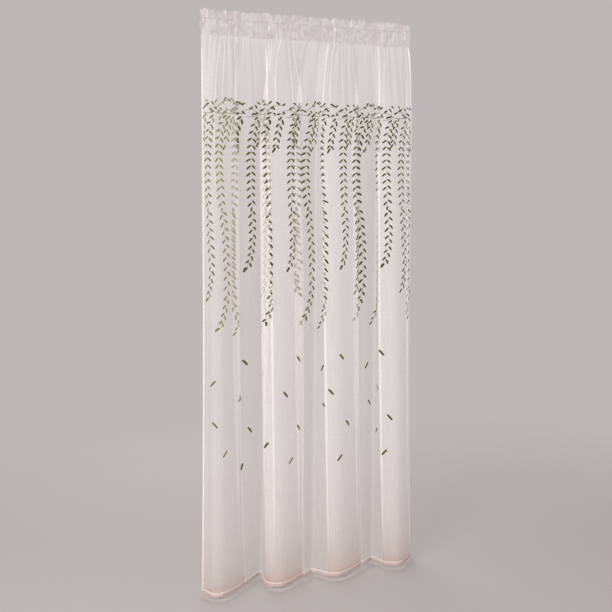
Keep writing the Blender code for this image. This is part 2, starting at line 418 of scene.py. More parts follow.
# Where a crease is at the seam and far below, how soon it settles there, how far down it goes, and
# its half width, its depth and its lap.
CREASE_COLUMNS = ("top", "low", "settle", "reach", "half_width", "depth", "lap")
CREASES = (
    (0.118, 0.084, 0.16, 0.50, 0.0065, 0.0050, 0.0150),
    (0.150, 0.116, 0.16, 0.30, 0.0060, 0.0040, 0.0130),
    (0.214, 0.256, 0.15, 2.12, 0.0065, 0.0055, 0.0205),
    (0.398, 0.356, 0.30, 0.60, 0.0110, 0.0050, 0.0170),
    (0.440, 0.541, 0.12, 2.10, 0.0055, 0.0045, 0.0160),
    (0.505, 0.565, 0.12, 0.35, 0.0065, 0.0045, 0.0160),
    (0.552, 0.636, 0.10, 0.60, 0.0065, 0.0050, 0.0170),
    (0.585, 0.711, 0.17, 2.12, 0.0060, 0.0050, 0.0195),
    (0.830, 0.850, 0.15, 2.12, 0.0060, 0.0045, 0.0190),
    (0.866, 0.877, 0.15, 0.30, 0.0065, 0.0040, 0.0150),
    (0.914, 0.935, 0.15, 0.30, 0.0060, 0.0035, 0.0110),
    (0.970, 1.054, 0.30, 2.05, 0.0050, 0.0040, 0.0140),
    (1.178, 1.208, 0.20, 2.12, 0.0065, 0.0055, 0.0210),
    (1.218, 1.236, 0.15, 0.30, 0.0065, 0.0045, 0.0150),
    (1.340, 1.354, 0.15, 0.60, 0.0060, 0.0040, 0.0140),
)


def gather_depth(across, below):
    """How far the small pleats stand out of the cloth.

    Each row of GATHERS is a sine over a drifting place. Its depth rises from the seam as one minus
    an exponential and fades as another.
    """
    lean = GATHER_LEAN * np.sin(GATHER_LEAN_RATE * across) * below
    place = across + sine_sum(across, GATHER_DRIFT) + lean
    depth = 0.0
    for row in GATHERS:
        gather = dict(zip(GATHER_COLUMNS, row))
        envelope = (1 + SEAM_SHARE - np.exp(-below / gather["rise"])) * np.exp(-below / gather["reach"])
        wave = np.sin(2 * np.pi * place / gather["length"] + gather["start"])
        depth = depth + gather["depth"] * envelope * wave
    return depth * np.interp(across, *np.array(GATHER_SHARES).T)


def crease_shift(across, below):
    """(along, out): how far the listed creases move the cloth along itself and out of itself.

    A crease's middle starts at its top and settles to its low place, an exponential. The sixth power
    in its fade keeps the crease whole nearly as far as its reach.
    """
    along = 0.0
    out = 0.0
    for row in CREASES:
        crease = dict(zip(CREASE_COLUMNS, row))
        middle = crease["low"] + (crease["top"] - crease["low"]) * np.exp(-below / crease["settle"])
        t = (across - middle) / crease["half_width"]
        bump = t * np.exp(-t * t / 2) * np.exp(-((below / crease["reach"]) ** 6))
        along = along - crease["lap"] * bump
        out = out + crease["depth"] * bump
    return along, out


print("gathers: %d waves, creases: %d" % (len(GATHERS), len(CREASES)))

# %% [markdown]
# The panel's grid
#
# The panel is one grid of points, and its rows crowd together near the seam, where the pleats are
# finest. A crease takes up cloth, and cloth doesn't stretch, so its neighbours have to give some. A
# simulation would find that balance by itself. Here each row is made with many columns and read
# again at even distances along itself, which does the same in one step and keeps the creases in
# their places.

# %% The creased cloth
COLUMNS = 650
ROWS = 150
ROW_CROWDING = 1.35
DENSE_COLUMNS = 2400

across_grid = np.linspace(0, CLOTH_WIDTH, COLUMNS)
dense_across = np.linspace(0, CLOTH_WIDTH, DENSE_COLUMNS)
down_grid = np.linspace(0, 1, ROWS) ** ROW_CROWDING
below_grid = down_grid * (PANEL_TOP - HEM)


def unit(vectors):
    """The vectors at length one."""
    return vectors / np.linalg.norm(vectors, axis=-1, keepdims=True)


def hump(reach):
    """Weights for a point and reach neighbours on each side: one cosine hump that sums to one."""
    weights = np.hanning(2 * reach + 1)
    return weights / weights.sum()


def surface_normals(points):
    """The front normals of a grid: the cross product of its downward and rightward differences."""
    return unit(np.cross(np.gradient(points, axis=0), np.gradient(points, axis=1)))


def creased_cloth():
    """The folded surface with its pleats and creases, on the dense columns.

    A crease moves the cloth along itself by its lap times the local spread, because at the seam each
    metre of cloth takes up less of the rod.
    """
    plain = hung_cloth(dense_across, down_grid)
    rightward = np.gradient(plain, dense_across, axis=1)
    rightward[..., 2] = 0
    spread = np.linalg.norm(rightward, axis=-1)
    rightward = unit(rightward)
    frontward = np.stack([rightward[..., 1], -rightward[..., 0], np.zeros(spread.shape)], axis=-1)
    along, out = crease_shift(dense_across[None, :], below_grid[:, None])
    out = out + gather_depth(dense_across[None, :], below_grid[:, None])
    return plain + rightward * (along * spread)[..., None] + frontward * out[..., None]


creased_points = creased_cloth()
print("creased cloth: %d rows of %d points" % creased_points.shape[:2])

# %% The panel's points
EVEN_REACH = 0.075


def evened_columns(points):
    """The surface read at columns that are evenly spaced along the cloth within a short reach.

    Each row's length is smoothed over the reach, and the row is read where its true length equals
    the smoothed one.
    """
    half = int(EVEN_REACH / dense_across[1])
    rows = []
    for row in points:
        length = np.concatenate([[0], np.cumsum(np.linalg.norm(np.diff(row, axis=0), axis=1))])
        padded = np.pad(length, half, mode="reflect", reflect_type="odd")
        smooth = np.convolve(padded, hump(half), "valid")
        at = np.interp(np.interp(across_grid, dense_across, smooth), length, dense_across)
        rows.append(np.stack([np.interp(at, dense_across, row[:, axis]) for axis in range(3)], axis=-1))
    return np.stack(rows)


panel_points = evened_columns(creased_points)
panel_normals = surface_normals(panel_points)
row_lengths = np.linalg.norm(np.diff(panel_points, axis=1), axis=2).sum(axis=1)
print("panel: widths of cloth drawn at the top, a tenth down and the hem: %.3f, %.3f, %.3f m" % (
    row_lengths[0], np.interp(0.1, down_grid, row_lengths), row_lengths[-1]))

# %% [markdown]
# Hems, stitches, stems and leaves are laid out on the flat cloth, in metres across from its left edge
# and metres below the ruffle's top. Each such place is then looked up on the folded grid. So what is
# sewn on follows every fold, and no piece has to be wrapped round the cloth by hand.

# %% Places on the panel
def read_grid(points, normals, row, column, lift):
    """Points between a grid's points, straight-line blended, lifted off it along its normals."""
    i = np.clip(np.floor(row).astype(int), 0, points.shape[0] - 2)
    j = np.clip(np.floor(column).astype(int), 0, points.shape[1] - 2)
    v = (row - i)[..., None]
    u = (column - j)[..., None]

    def blend(field):
        upper = (1 - u) * field[i, j] + u * field[i, j + 1]
        lower = (1 - u) * field[i + 1, j] + u * field[i + 1, j + 1]
        return (1 - v) * upper + v * lower

    return blend(points) + unit(blend(normals)) * lift[..., None]


def panel_place(across, drop):
    """The grid's row and column at across metres from the left edge, drop metres below the ruffle's top."""
    below = drop - (RUFFLE_TOP - PANEL_TOP)
    return np.interp(below, below_grid, np.arange(ROWS)), across / CLOTH_WIDTH * (COLUMNS - 1)


def on_panel(across, drop, lift):
    """Points on the panel, lifted off its front."""
    return read_grid(panel_points, panel_normals, *panel_place(across, drop), lift)


# %% [markdown]
# The voile
#
# Voile is a plain weave of very fine, well-spaced threads. One sees through the gaps and sees white
# where the threads are, so the shader mixes a clear part with a thread part by how much the threads
# cover. Crossing stripes at the threads' pitch and long soft slubs vary that cover. The threads
# themselves are part matt and part translucent, which lets light from behind glow in the cloth. A net
# of real threads would do all this by itself, but it would take millions of faces.
#
# At the seam more cloth is gathered than the mesh draws. The attribute "layers" says how many times
# more, and n layers that each cover c let through (1 - c) to the power n.

# %% The voile's material
THREAD_PITCH = 0.00055
WEAVE_MEAN = 0.68
WEAVE_SWING = 0.16
SLUB_SCALE = (260, 9, 1)
SLUB_SWING = 0.20
BAR_SCALE = (7, 190, 1)
BAR_SWING = 0.08
SLUB_HEIGHT = 0.6
WEAVE_BUMP = (0.35, 0.00012)
CLOUD_SCALE = 5.0
# The warm colour of painted light: reflected light near the hem, and shade on the heading.
WARM_REFLECTION_AND_SHADE_COLOUR = (0.60, 0.39, 0.32)


def streaks(tree, place, scale):
    """Soft random streaks: scale is how many there are to the metre along each coordinate."""
    stretched = add_node(tree, "ShaderNodeMapping", {"Vector": place, "Scale": scale}).outputs[0]
    return noise(tree, stretched, 1.0, 3.0)


def cloth_material(name, cover, colour, shade, glow):
    """Sheer plain-woven cloth. cover is the share its threads hide, glow the share that shines through.

    A point value draws the thread's colour towards a warm colour: painted warm reflected light near
    the hem, and painted shade in the thin spots of the heading.
    """
    material, tree = new_material(name)
    place, along, across = metres(tree)
    weave = maths(tree, "MAXIMUM", stripes(tree, along, THREAD_PITCH), stripes(tree, across, THREAD_PITCH))
    slub = streaks(tree, place, SLUB_SCALE)
    bar = streaks(tree, place, BAR_SCALE)
    uneven = maths(tree, "MULTIPLY_ADD", maths(tree, "SUBTRACT", weave, WEAVE_MEAN), WEAVE_SWING, cover)
    uneven = maths(tree, "MULTIPLY_ADD", maths(tree, "SUBTRACT", slub, 0.5), SLUB_SWING, uneven)
    uneven = maths(tree, "MULTIPLY_ADD", maths(tree, "SUBTRACT", bar, 0.5), BAR_SWING, uneven, clamp=True)
    gaps = maths(tree, "POWER", maths(tree, "SUBTRACT", 1.0, uneven), point_value(tree, "layers"))
    clouds = blend_colours(tree, noise(tree, place, CLOUD_SCALE), colour, shade)
    # Painted light: the thread's colour is drawn towards the warm colour, as painted warm reflected light
    # near the hem and painted shade on the heading.
    thread = blend_colours(tree, point_value(tree, "painted_reflection_and_shade"), clouds, WARM_REFLECTION_AND_SHADE_COLOUR)
    bump = bumped(tree, maths(tree, "MULTIPLY_ADD", slub, SLUB_HEIGHT, weave), *WEAVE_BUMP)
    matt = add_node(
        tree, "ShaderNodeBsdfPrincipled",
        {"Base Color": thread, "Roughness": 0.72, "Sheen Weight": 0.45, "Sheen Roughness": 0.35,
         "Specular IOR Level": 0.35, "Normal": bump},
    )
    through = add_node(tree, "ShaderNodeBsdfTranslucent", {"Color": thread, "Normal": bump})
    lit = add_node(tree, "ShaderNodeMixShader", {0: glow, 1: matt.outputs[0], 2: through.outputs[0]})
    clear = add_node(tree, "ShaderNodeBsdfTransparent")
    sheer = add_node(tree, "ShaderNodeMixShader", {0: gaps, 1: lit.outputs[0], 2: clear.outputs[0]})
    finish_material(tree, sheer.outputs[0])
    return material


# %% The four finishes of the cloth
# The hanging cloth, the turned hem, the roll below it, whose darker, rosier colours are painted shade
# with painted warm reflected light, and the heading, whose cover is low because its layers are many.
CLOTH_COLUMNS = ("cover", "colour", "shade", "glow")
CLOTHS = {
    "voile": (0.29, (0.94, 0.90, 0.89), (0.90, 0.84, 0.835), 0.35),
    "hem_voile": (0.66, (0.97, 0.92, 0.91), (0.94, 0.88, 0.87), 0.30),
    "roll_voile_painted_shade": (0.60, (0.80, 0.69, 0.66), (0.50, 0.39, 0.36), 0.20),
    "gathered_voile": (0.12, (0.93, 0.88, 0.87), (0.86, 0.80, 0.79), 0.30),
}

voile, hem_voile, roll_voile_painted_shade, gathered_voile = (
    cloth_material(name, **dict(zip(CLOTH_COLUMNS, row))) for name, row in CLOTHS.items()
)
print("cloths:", ", ".join(CLOTHS))

# %% [markdown]
# How much thread shows
#
# Sheer cloth is read by how much thread lies in the line of sight, more than by light and shade. So
# each point of the grid gets a number of layers. It starts from the cloth that the grid doesn't draw,
# is raised on the crests and lowered in the troughs, and is lowered again where a layer hides behind
# a lap, so that the laps show as thin bright lines. Near the hem the threads are also drawn towards a
# warm colour and made denser, on the crests most of all: this is painted warm reflected light. A
# painted texture could do this, but values at the points follow the folds and need no image.

# %% Layers of thread
LAYER_SHARE = 0.15
LAYER_LIMITS = (0.8, 2.2)
LAYER_REACH = 12


def drawn_layers(points, flat_step):
    """Flat cloth over drawn cloth for each point of a grid, evened out over its neighbours.

    Gathered threads hide one another, so only a share of the surplus counts.
    """
    drawn = np.linalg.norm(np.gradient(points, axis=1), axis=2)
    padded = np.pad(drawn, ((0, 0), (LAYER_REACH, LAYER_REACH)), mode="reflect")
    smooth = np.apply_along_axis(np.convolve, 1, padded, hump(LAYER_REACH), "valid")
    return 1 + LAYER_SHARE * (np.clip(flat_step / smooth, *LAYER_LIMITS) - 1)


def read_across(table):
    """A table of (across, value) rows, read at the panel's columns."""
    return np.interp(across_grid, *np.array(table).T)[None, :]


def read_below(starts):
    """The square of a ramp from 0 at the first depth below the seam to 1 at the second."""
    return np.interp(below_grid, starts, (0, 1))[:, None] ** 2


# %% Crests, troughs and hidden laps
FULLNESS = (
    (0.000, 0.95), (0.030, 0.90), (0.249, 0.92), (0.256, 0.74), (0.490, 0.76), (0.503, 1.50),
    (0.541, 1.50), (0.548, 1.25), (0.640, 1.35), (0.704, 1.35), (0.711, 0.74), (0.842, 0.76),
    (0.849, 1.45), (0.950, 1.20), (1.047, 1.25), (1.054, 0.76), (1.199, 0.76), (1.207, 1.40),
    (1.300, 1.20), (1.404, 1.30),
)
FULLNESS_STARTS = (0.10, 0.45)
HIDDEN_LAPS = ((0.200, 0.247), (0.662, 0.704), (1.007, 1.044))
HIDDEN_SHARE = 0.60
LAP_FADE = 0.005

settled = np.interp(below_grid, FULLNESS_STARTS, (0, 1))[:, None]
fullness = 1 + (read_across(FULLNESS) - 1) * settled
lap_level = level_profile("lap", down_grid)[:, None]
for first, last in HIDDEN_LAPS:
    behind = np.clip(np.minimum(across_grid - first, last - across_grid) / LAP_FADE, 0, 1)
    fullness = fullness * (1 - HIDDEN_SHARE * lap_level * behind)
print("fullness: %.2f to %.2f" % (fullness.min(), fullness.max()))

# %% The painted warm reflected light near the hem
PAINTED_REFLECTION_STARTS = (1.74, 2.03)
PAINTED_REFLECTION_DEPTH = 0.75
PAINTED_REFLECTION_SHARES = (
    (0.00, 0.90), (0.249, 1.00), (0.256, 0.35), (0.490, 0.35), (0.503, 1.00), (0.704, 1.00),
    (0.711, 0.35), (0.842, 0.35), (0.849, 1.00), (1.047, 1.00), (1.054, 0.35), (1.199, 0.35),
    (1.207, 1.00), (1.404, 1.00),
)
FOOT_STARTS = (1.955, 2.022)
FOOT_DENSITY = 0.90
FOOT_PAINTED_REFLECTION = 0.25

# Near the hem, on the crests most, the threads turn warmer and denser: painted warm reflected light.
foot = read_below(FOOT_STARTS)
painted_reflection_share = read_across(PAINTED_REFLECTION_SHARES)
panel_painted_reflection = (PAINTED_REFLECTION_DEPTH * read_below(PAINTED_REFLECTION_STARTS) + FOOT_PAINTED_REFLECTION * foot) * painted_reflection_share
fullness = fullness * (1 + FOOT_DENSITY * foot * painted_reflection_share)
print("tint: up to %.2f" % panel_painted_reflection.max())

# %% The panel
panel_uv = np.stack(np.meshgrid(across_grid, -below_grid), axis=-1)
panel_layers = drawn_layers(panel_points, across_grid[1]) * fullness
panel = make_piece(
    "voile_panel", panel_points, grid_faces(ROWS, COLUMNS), panel_uv, voile,
    {"layers": panel_layers, "painted_reflection_and_shade": panel_painted_reflection},
)
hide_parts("panel")
print("panel: %d faces" % len(panel.data.polygons))

# %% [markdown]
# The heading
#
# The cloth's top is doubled over to the back and sewn twice. Between the two rows of stitches is the
# rod's pocket, above them a small standing ruffle. It is one sheet here too: a profile up the front,
# over the ruffle's tip and down the back, carried along the rod. What makes it look gathered is that
# each height has its own waves: tight puckers at the stitches, slacker ones round the pocket, and
# round puffs with narrow valleys along the ruffle. Waves alone look too orderly, so smooth random
# values crumple the cloth a little further. A bump on a plain band could fake the pocket's gathers,
# but not the ruffle's edge, where their shape shows against the light.

# %% The heading's profile and waves
# Up the front: the height, half the pocket's depth, the cloth's slack, and the ruffle's share.
HEADING_PROFILE = (
    (-0.0460, 0.0008, 0.00, 0.0),
    (-0.0425, 0.0024, 0.25, 0.0),
    (-0.0350, 0.0056, 0.60, 0.0),
    (-0.0240, 0.0092, 0.90, 0.0),
    (-0.0120, 0.0120, 1.00, 0.0),
    (0.0010, 0.0130, 1.00, 0.0),
    (0.0095, 0.0102, 0.70, 0.0),
    (0.0148, 0.0040, 0.30, 0.0),
    (0.0170, 0.0016, 0.08, 0.0),
    (0.0195, 0.0026, 0.15, 0.15),
    (0.0260, 0.0038, 0.20, 0.5),
    (0.0340, 0.0044, 0.30, 0.9),
    (0.0395, 0.0036, 0.30, 1.0),
    (0.0422, 0.0018, 0.30, 1.0),
    (0.0430, 0.0000, 0.30, 1.0),
)
PUCKERS = ((0.0062, 0.0005, 0.3), (0.0089, 0.0006, 1.9), (0.0137, 0.0007, 4.0))
FRONT_WAVES = ((0.0112, 0.0012, 0.2), (0.0187, 0.0018, 2.6), (0.0290, 0.0018, 4.9), (0.0530, 0.0014, 0.7))
BACK_WAVES = ((0.0118, 0.0012, 3.2), (0.0173, 0.0018, 0.6), (0.0310, 0.0018, 1.9), (0.0590, 0.0014, 5.0))
FRILL = ((0.041, 0.0022, 0.0), (0.064, 0.0026, 1.7), (0.087, 0.0022, 2.9))
PUFF_LENGTH = 0.029
PUFF_DRIFT = ((0.190, 0.010, 0.7), (0.083, 0.006, 2.1))
PUFF_RISE = 0.0120
PUFF_MEAN = 0.80
PUFF_HEIGHTS = ((0.047, 0.0008, 1.2), (0.131, 0.0010, 4.4))
PUFF_SWELL = 1.3
PUFF_PINCH = 0.6
WAVE_LEAN = 0.10
WAVE_LEAN_LENGTH = 0.23
CREASE_LEAN = 0.06
CREASE_LEAN_RATE = 11
CREASE_SLACK = 0.95

# %% Crumpled cloth
CRUMPLE = 0.0012
CRUMPLE_WAVES = ((0.021, 0.043), (0.034, -0.037))
CRUMPLE_RISE = 0.5
CRUSH = 0.0026
CRUSH_PITCH = (0.019, 0.012)
CRUSH_SEED = 3
RUFFLE_CRUSH = 0.8


def crushed(across, round_place, seed):
    """Smooth random values from -1 to 1 over metres across and metres round the profile.

    They are drawn at knots that lie CRUSH_PITCH apart, and blended by 3t squared - 2t cubed.
    """
    u, v = np.broadcast_arrays(across / CRUSH_PITCH[0], round_place / CRUSH_PITCH[1])
    i, j = np.floor(u).astype(int), np.floor(v).astype(int)
    spots = np.random.default_rng(seed).uniform(-1, 1, (j.max() + 2, i.max() + 2))
    s, t = (f * f * (3 - 2 * f) for f in (u - i, v - j))
    upper = spots[j, i] * (1 - s) + spots[j, i + 1] * s
    lower = spots[j + 1, i] * (1 - s) + spots[j + 1, i + 1] * s
    return upper * (1 - t) + lower * t


def crumpled(x, height):
    """A product of slanting sines, whose peaks come at uneven places."""
    depth = CRUMPLE
    for length, rise in CRUMPLE_WAVES:
        depth = depth * np.sin(2 * np.pi * (x / length + height / rise))
    return depth


# %% The heading's grid
X_READINGS = 1150
PROFILE_READINGS = 30


def heading_grid():
    """The looped sheet: rows round the profile, columns along the rod, and (x, y, z).

    y is the seam's wave, plus the waves of the front or the back and crumples where the cloth is
    slack, plus or minus the half depth. The ruffle adds a frill and puffs: the root of the absolute
    value of a sine, which is round on top and narrow in its valleys, lifts its tip and swells its
    two sides. The panel's creases run on up the heading, with the same two shifts.
    """
    table = np.array(HEADING_PROFILE)
    length = np.concatenate([[0], np.cumsum(np.linalg.norm(np.diff(table[:, :2], axis=0), axis=1))])
    at = np.linspace(0, length[-1], PROFILE_READINGS)
    front = hermite(length, table, np.gradient(table, length, axis=0), at)
    height, half, slack, puff = np.concatenate([front, front[-2::-1]]).T[:, :, None]
    side = np.where(np.arange(len(height)) < PROFILE_READINGS, -1.0, 1.0)[:, None]
    round_place = np.concatenate([at, 2 * at[-1] - at[-2::-1]])[:, None]
    x = np.linspace(LEFT_END, RIGHT_END, X_READINGS)[None, :]
    flat_place = (x - LEFT_END) / (RIGHT_END - LEFT_END) * CLOTH_WIDTH
    cloth_place = flat_place + CREASE_LEAN * np.sin(CREASE_LEAN_RATE * x) * (height - POCKET_SEAM)
    along, out = crease_shift(cloth_place, np.zeros_like(height))
    tight = (1 - np.clip(slack, 0, 1)) * (1 - np.clip(puff, 0, 1))
    pressed = CREASE_SLACK + (1 - CREASE_SLACK) * tight
    leaning = x + WAVE_LEAN * np.sin(2 * np.pi * x / WAVE_LEAN_LENGTH) * height
    own = np.where(side < 0, sine_sum(leaning, FRONT_WAVES), sine_sum(leaning, BACK_WAVES))
    crumple = crumpled(x, height)
    crush = CRUSH * crushed(flat_place, round_place, CRUSH_SEED) * np.maximum(slack, RUFFLE_CRUSH * puff)
    sewn = sine_sum(x, SEAM_WAVE) + sine_sum(x, PUCKERS) * (1 - slack) * (1 - puff)
    rounds = np.abs(np.sin(np.pi * (x + sine_sum(x, PUFF_DRIFT)) / PUFF_LENGTH)) ** 0.5
    y = sewn + (own + crumple) * slack + crush + sine_sum(x, FRILL) * puff - out * pressed
    y = y + side * np.maximum(half, 0) * (1 + puff * (PUFF_SWELL * rounds - PUFF_PINCH))
    lift = (PUFF_RISE * (rounds - PUFF_MEAN) + sine_sum(x, PUFF_HEIGHTS)) * puff**2
    z = height + lift + CRUMPLE_RISE * crumple * slack + crush * puff
    along = along * (RIGHT_END - LEFT_END) / CLOTH_WIDTH
    return np.stack([x + along * pressed, y, np.broadcast_to(z, y.shape)], axis=-1)


heading_points = heading_grid()
heading_normals = surface_normals(heading_points[::-1])[::-1]
loop_length = np.linalg.norm(np.diff(heading_points.mean(axis=1), axis=0), axis=1)
loop_place = np.concatenate([[0], np.cumsum(loop_length)])
print("heading: once round its profile %.3f m" % loop_place[-1])

# %% [markdown]
# The heading looks dense where many layers lie over each other. A few dense bands stand where a deep
# pleat is caught in the seam, and crumples scatter light and dark spots between them. Both go into
# the attribute "layers". The thin spots are also painted darker and warmer, as painted shade.

# %% The heading
HEADING_CREASE_COLUMNS = ("across", "half_width", "extra")
HEADING_CREASES = (
    (0.012, 0.008, 1.0), (0.033, 0.005, 1.2), (0.118, 0.006, 1.0), (0.150, 0.007, 1.5),
    (0.208, 0.008, 2.2), (0.432, 0.016, 1.5), (0.478, 0.006, 1.2), (0.567, 0.006, 1.3),
    (0.590, 0.007, 1.6), (0.700, 0.006, 0.8), (0.853, 0.010, 1.6), (0.985, 0.006, 1.6),
    (1.196, 0.015, 1.5), (1.278, 0.005, 1.0), (1.362, 0.009, 1.4),
)
MOTTLE_SEED = 7
MOTTLE_DENSITY = 0.60
MOTTLE_PAINTED_SHADE = 0.34
PAINTED_SHADE_LEVEL = 0.4
PAINTED_SHADE_SLOPE = 1.4

heading_uv = np.stack(np.meshgrid(np.linspace(0, CLOTH_WIDTH, X_READINGS), loop_place), axis=-1)
heading_layers = drawn_layers(heading_points, CLOTH_WIDTH / (X_READINGS - 1))
for row in HEADING_CREASES:
    crease = dict(zip(HEADING_CREASE_COLUMNS, row))
    away = (heading_uv[:PROFILE_READINGS, :, 0] - crease["across"]) / crease["half_width"]
    heading_layers[:PROFILE_READINGS] += crease["extra"] * np.exp(-away**4)
mottle = crushed(heading_uv[..., 0], heading_uv[..., 1], MOTTLE_SEED)
heading_layers = heading_layers * (1 + MOTTLE_DENSITY * mottle)
# Painted shade: the heading's thin spots are drawn towards the darker warm colour.
heading_painted_shade = MOTTLE_PAINTED_SHADE * np.clip(PAINTED_SHADE_LEVEL - PAINTED_SHADE_SLOPE * mottle, 0, 1)
heading = make_piece(
    "gathered_heading", heading_points,
    [face[::-1] for face in grid_faces(*heading_points.shape[:2])],
    heading_uv, gathered_voile, {"layers": heading_layers, "painted_reflection_and_shade": heading_painted_shade},
)
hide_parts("heading")
print("heading: %d faces" % len(heading.data.polygons))

# %% [markdown]
# Hems and sewing
#
# Everything that is sewn on is a small closed tube that lies in the cloth: a hem, a stitch, a stem
# and a leaf differ only in their middle lines and widths. A curve with a bevel could draw the stems,
# but it can't follow a fold that it knows nothing of. So one function makes all the tubes on the flat
# cloth and looks their points up on the folded one.

# %% Shapes sewn into the cloth
def sewn_tubes(paths, half_width, half_height, sides, place, squareness=1.0):
    """(points, uv) of closed tubes whose middle lines are paths, of count, rings and (across, drop).

    Each ring is an ellipse: half_width times the cosine of its angle sideways in the cloth, and
    half_height times its sine out of the cloth. A squareness under 1 fills the ellipse's corners.
    """
    angle = 2 * np.pi * np.arange(sides) / sides
    cosine = np.sign(np.cos(angle)) * np.abs(np.cos(angle)) ** squareness
    sine = np.sign(np.sin(angle)) * np.abs(np.sin(angle)) ** squareness
    steps = unit(np.gradient(paths, axis=1))
    sideways = np.stack([steps[..., 1], -steps[..., 0]], axis=-1)
    offset = half_width[..., None] * cosine
    spots = paths[:, :, None, :] + offset[..., None] * sideways[:, :, None, :]
    points = place(spots[..., 0], spots[..., 1], half_height[..., None] * sine)
    pace = np.linalg.norm(np.diff(paths, axis=1), axis=-1)
    length = np.concatenate([np.zeros((len(paths), 1)), np.cumsum(pace, axis=1)], axis=1)
    return points, np.stack([np.broadcast_to(length[..., None], offset.shape), offset], axis=-1)


def sewn_piece(
    name, paths, half_width, half_height, sides, place, material, squareness=1.0, values=None
):
    """One object of sewn tubes. Each array in values has one entry for each tube."""
    half_width, half_height = (np.broadcast_to(half, paths.shape[:2]) for half in (half_width, half_height))
    points, uv = sewn_tubes(paths, half_width, half_height, sides, place, squareness)
    spread = {
        label: np.broadcast_to(np.asarray(value)[:, None, None], points.shape[:3])
        for label, value in (values or {}).items()
    }
    piece = make_piece(name, points, tube_faces(*points.shape[:3]), uv, material, spread)
    print("%s: %d tubes, %d faces" % (name, len(paths), len(piece.data.polygons)))
    return piece


# %% [markdown]
# The hem is the same cloth turned over twice, so it is denser and brighter than the rest. Its upper
# edge is a thin flat band along the stitches, drawn a little towards the warm colour as painted warm
# reflected light. Below it the turned cloth rolls a little and is thicker. The roll's darker, rosier
# colour is painted shade with painted warm reflected light. The two side edges have a thin flat hem.
# A wobble of a fraction of a millimetre keeps the edges from looking ruled. Turning the sheet itself
# over twice would be closer to the truth, but layers that touch flicker in a render, so each hem is a
# closed tube instead.

# %% The hems
BOTTOM = RUFFLE_TOP - HEM
HEM_DEPTH = 0.018
HEM_BAND_HALF = 0.0030
HEM_ROLL_HALF = 0.0060
SIDE_HEM_WIDTH = 0.009
HEM_HALF_THICKNESS = 0.0012
ROLL_HALF_THICKNESS = 0.0024
SIDE_HEM_HALF_THICKNESS = 0.0007
HEM_WOBBLE = ((0.037, 0.00025, 0.4), (0.091, 0.00030, 2.2), (0.230, 0.00040, 1.0))
ROLL_WOBBLE = ((0.0145, 0.00035, 0.1), (0.023, 0.00040, 2.8), (0.061, 0.00045, 4.1))
ROLL_SHIFT = 0.005
BAND_PAINTED_REFLECTION = 0.15
BAND_SQUARENESS = 0.7
ROLL_SQUARENESS = 0.9
SIDE_HEM_SQUARENESS = 0.6
SIDE_HEM_LAYERS = 0.6
SIDE_HEM_START = 0.001
HEM_RINGS = 700
HEM_SIDES = 12
SIDE_HEM_RINGS = 240
SIDE_HEM_SIDES = 10

hem_across = np.linspace(0.0, CLOTH_WIDTH, HEM_RINGS)
band_middle = BOTTOM - HEM_DEPTH + HEM_BAND_HALF + sine_sum(hem_across, HEM_WOBBLE)
# Painted warm reflected light: the band's thread is drawn a little towards the warm colour.
bottom_hem = sewn_piece(
    "bottom_hem", np.stack([hem_across, band_middle], axis=-1)[None], HEM_BAND_HALF, HEM_HALF_THICKNESS,
    HEM_SIDES, on_panel, hem_voile, BAND_SQUARENESS, {"layers": [1.0], "painted_reflection_and_shade": [BAND_PAINTED_REFLECTION]},
)
roll_middle = BOTTOM - HEM_ROLL_HALF + sine_sum(hem_across, HEM_WOBBLE) / 2
roll_width = HEM_ROLL_HALF + sine_sum(hem_across, ROLL_WOBBLE)
roll_thickness = ROLL_HALF_THICKNESS + sine_sum(hem_across + ROLL_SHIFT, ROLL_WOBBLE)
# The roll's darker, rosier material is painted shade with painted warm reflected light.
hem_roll = sewn_piece(
    "hem_roll", np.stack([hem_across, roll_middle], axis=-1)[None], roll_width[None], roll_thickness[None],
    HEM_SIDES, on_panel, roll_voile_painted_shade, ROLL_SQUARENESS, {"layers": [1.0]},
)
side_drop = np.linspace(RUFFLE_TOP - PANEL_TOP + SIDE_HEM_START, BOTTOM - HEM_DEPTH, SIDE_HEM_RINGS)
side_paths = np.stack([
    np.stack([np.full_like(side_drop, middle), side_drop], axis=-1)
    for middle in (SIDE_HEM_WIDTH / 2, CLOTH_WIDTH - SIDE_HEM_WIDTH / 2)
])
side_hems = sewn_piece(
    "side_hems", side_paths, SIDE_HEM_WIDTH / 2, SIDE_HEM_HALF_THICKNESS, SIDE_HEM_SIDES, on_panel,
    hem_voile, SIDE_HEM_SQUARENESS, {"layers": [SIDE_HEM_LAYERS, SIDE_HEM_LAYERS]},
)

# %% [markdown]
# Embroidery thread is twisted from fine plies that shine a little. On a satin-stitched leaf the
# threads lie side by side and slant to both sides of the middle. Its colour is paler towards the
# rim, a painted highlight, and darker in the middle, painted shade where the threads sink in. Single
# threads as meshes would be far too many. Stripes that slant with the distance from the middle line
# draw them, with painted shade in their grooves, and a bump makes them catch the light.

# %% The threads
# Painted highlight: a leaf turns towards its paler rim colour between these distances from its middle line.
RIM_HIGHLIGHT_LIMITS = (0.0022, 0.0032)
PLY_SLANT = 0.8
PLY_BUMP = (0.6, 0.00025)
# Painted shade in the grooves between the plies: how much, and how dark.
GROOVE_SHADE_SHARE = 0.25
GROOVE_SHADE_DARKNESS = 0.35
SPECKLE_SCALE = 300.0
SPECKLE_SWING = 0.5


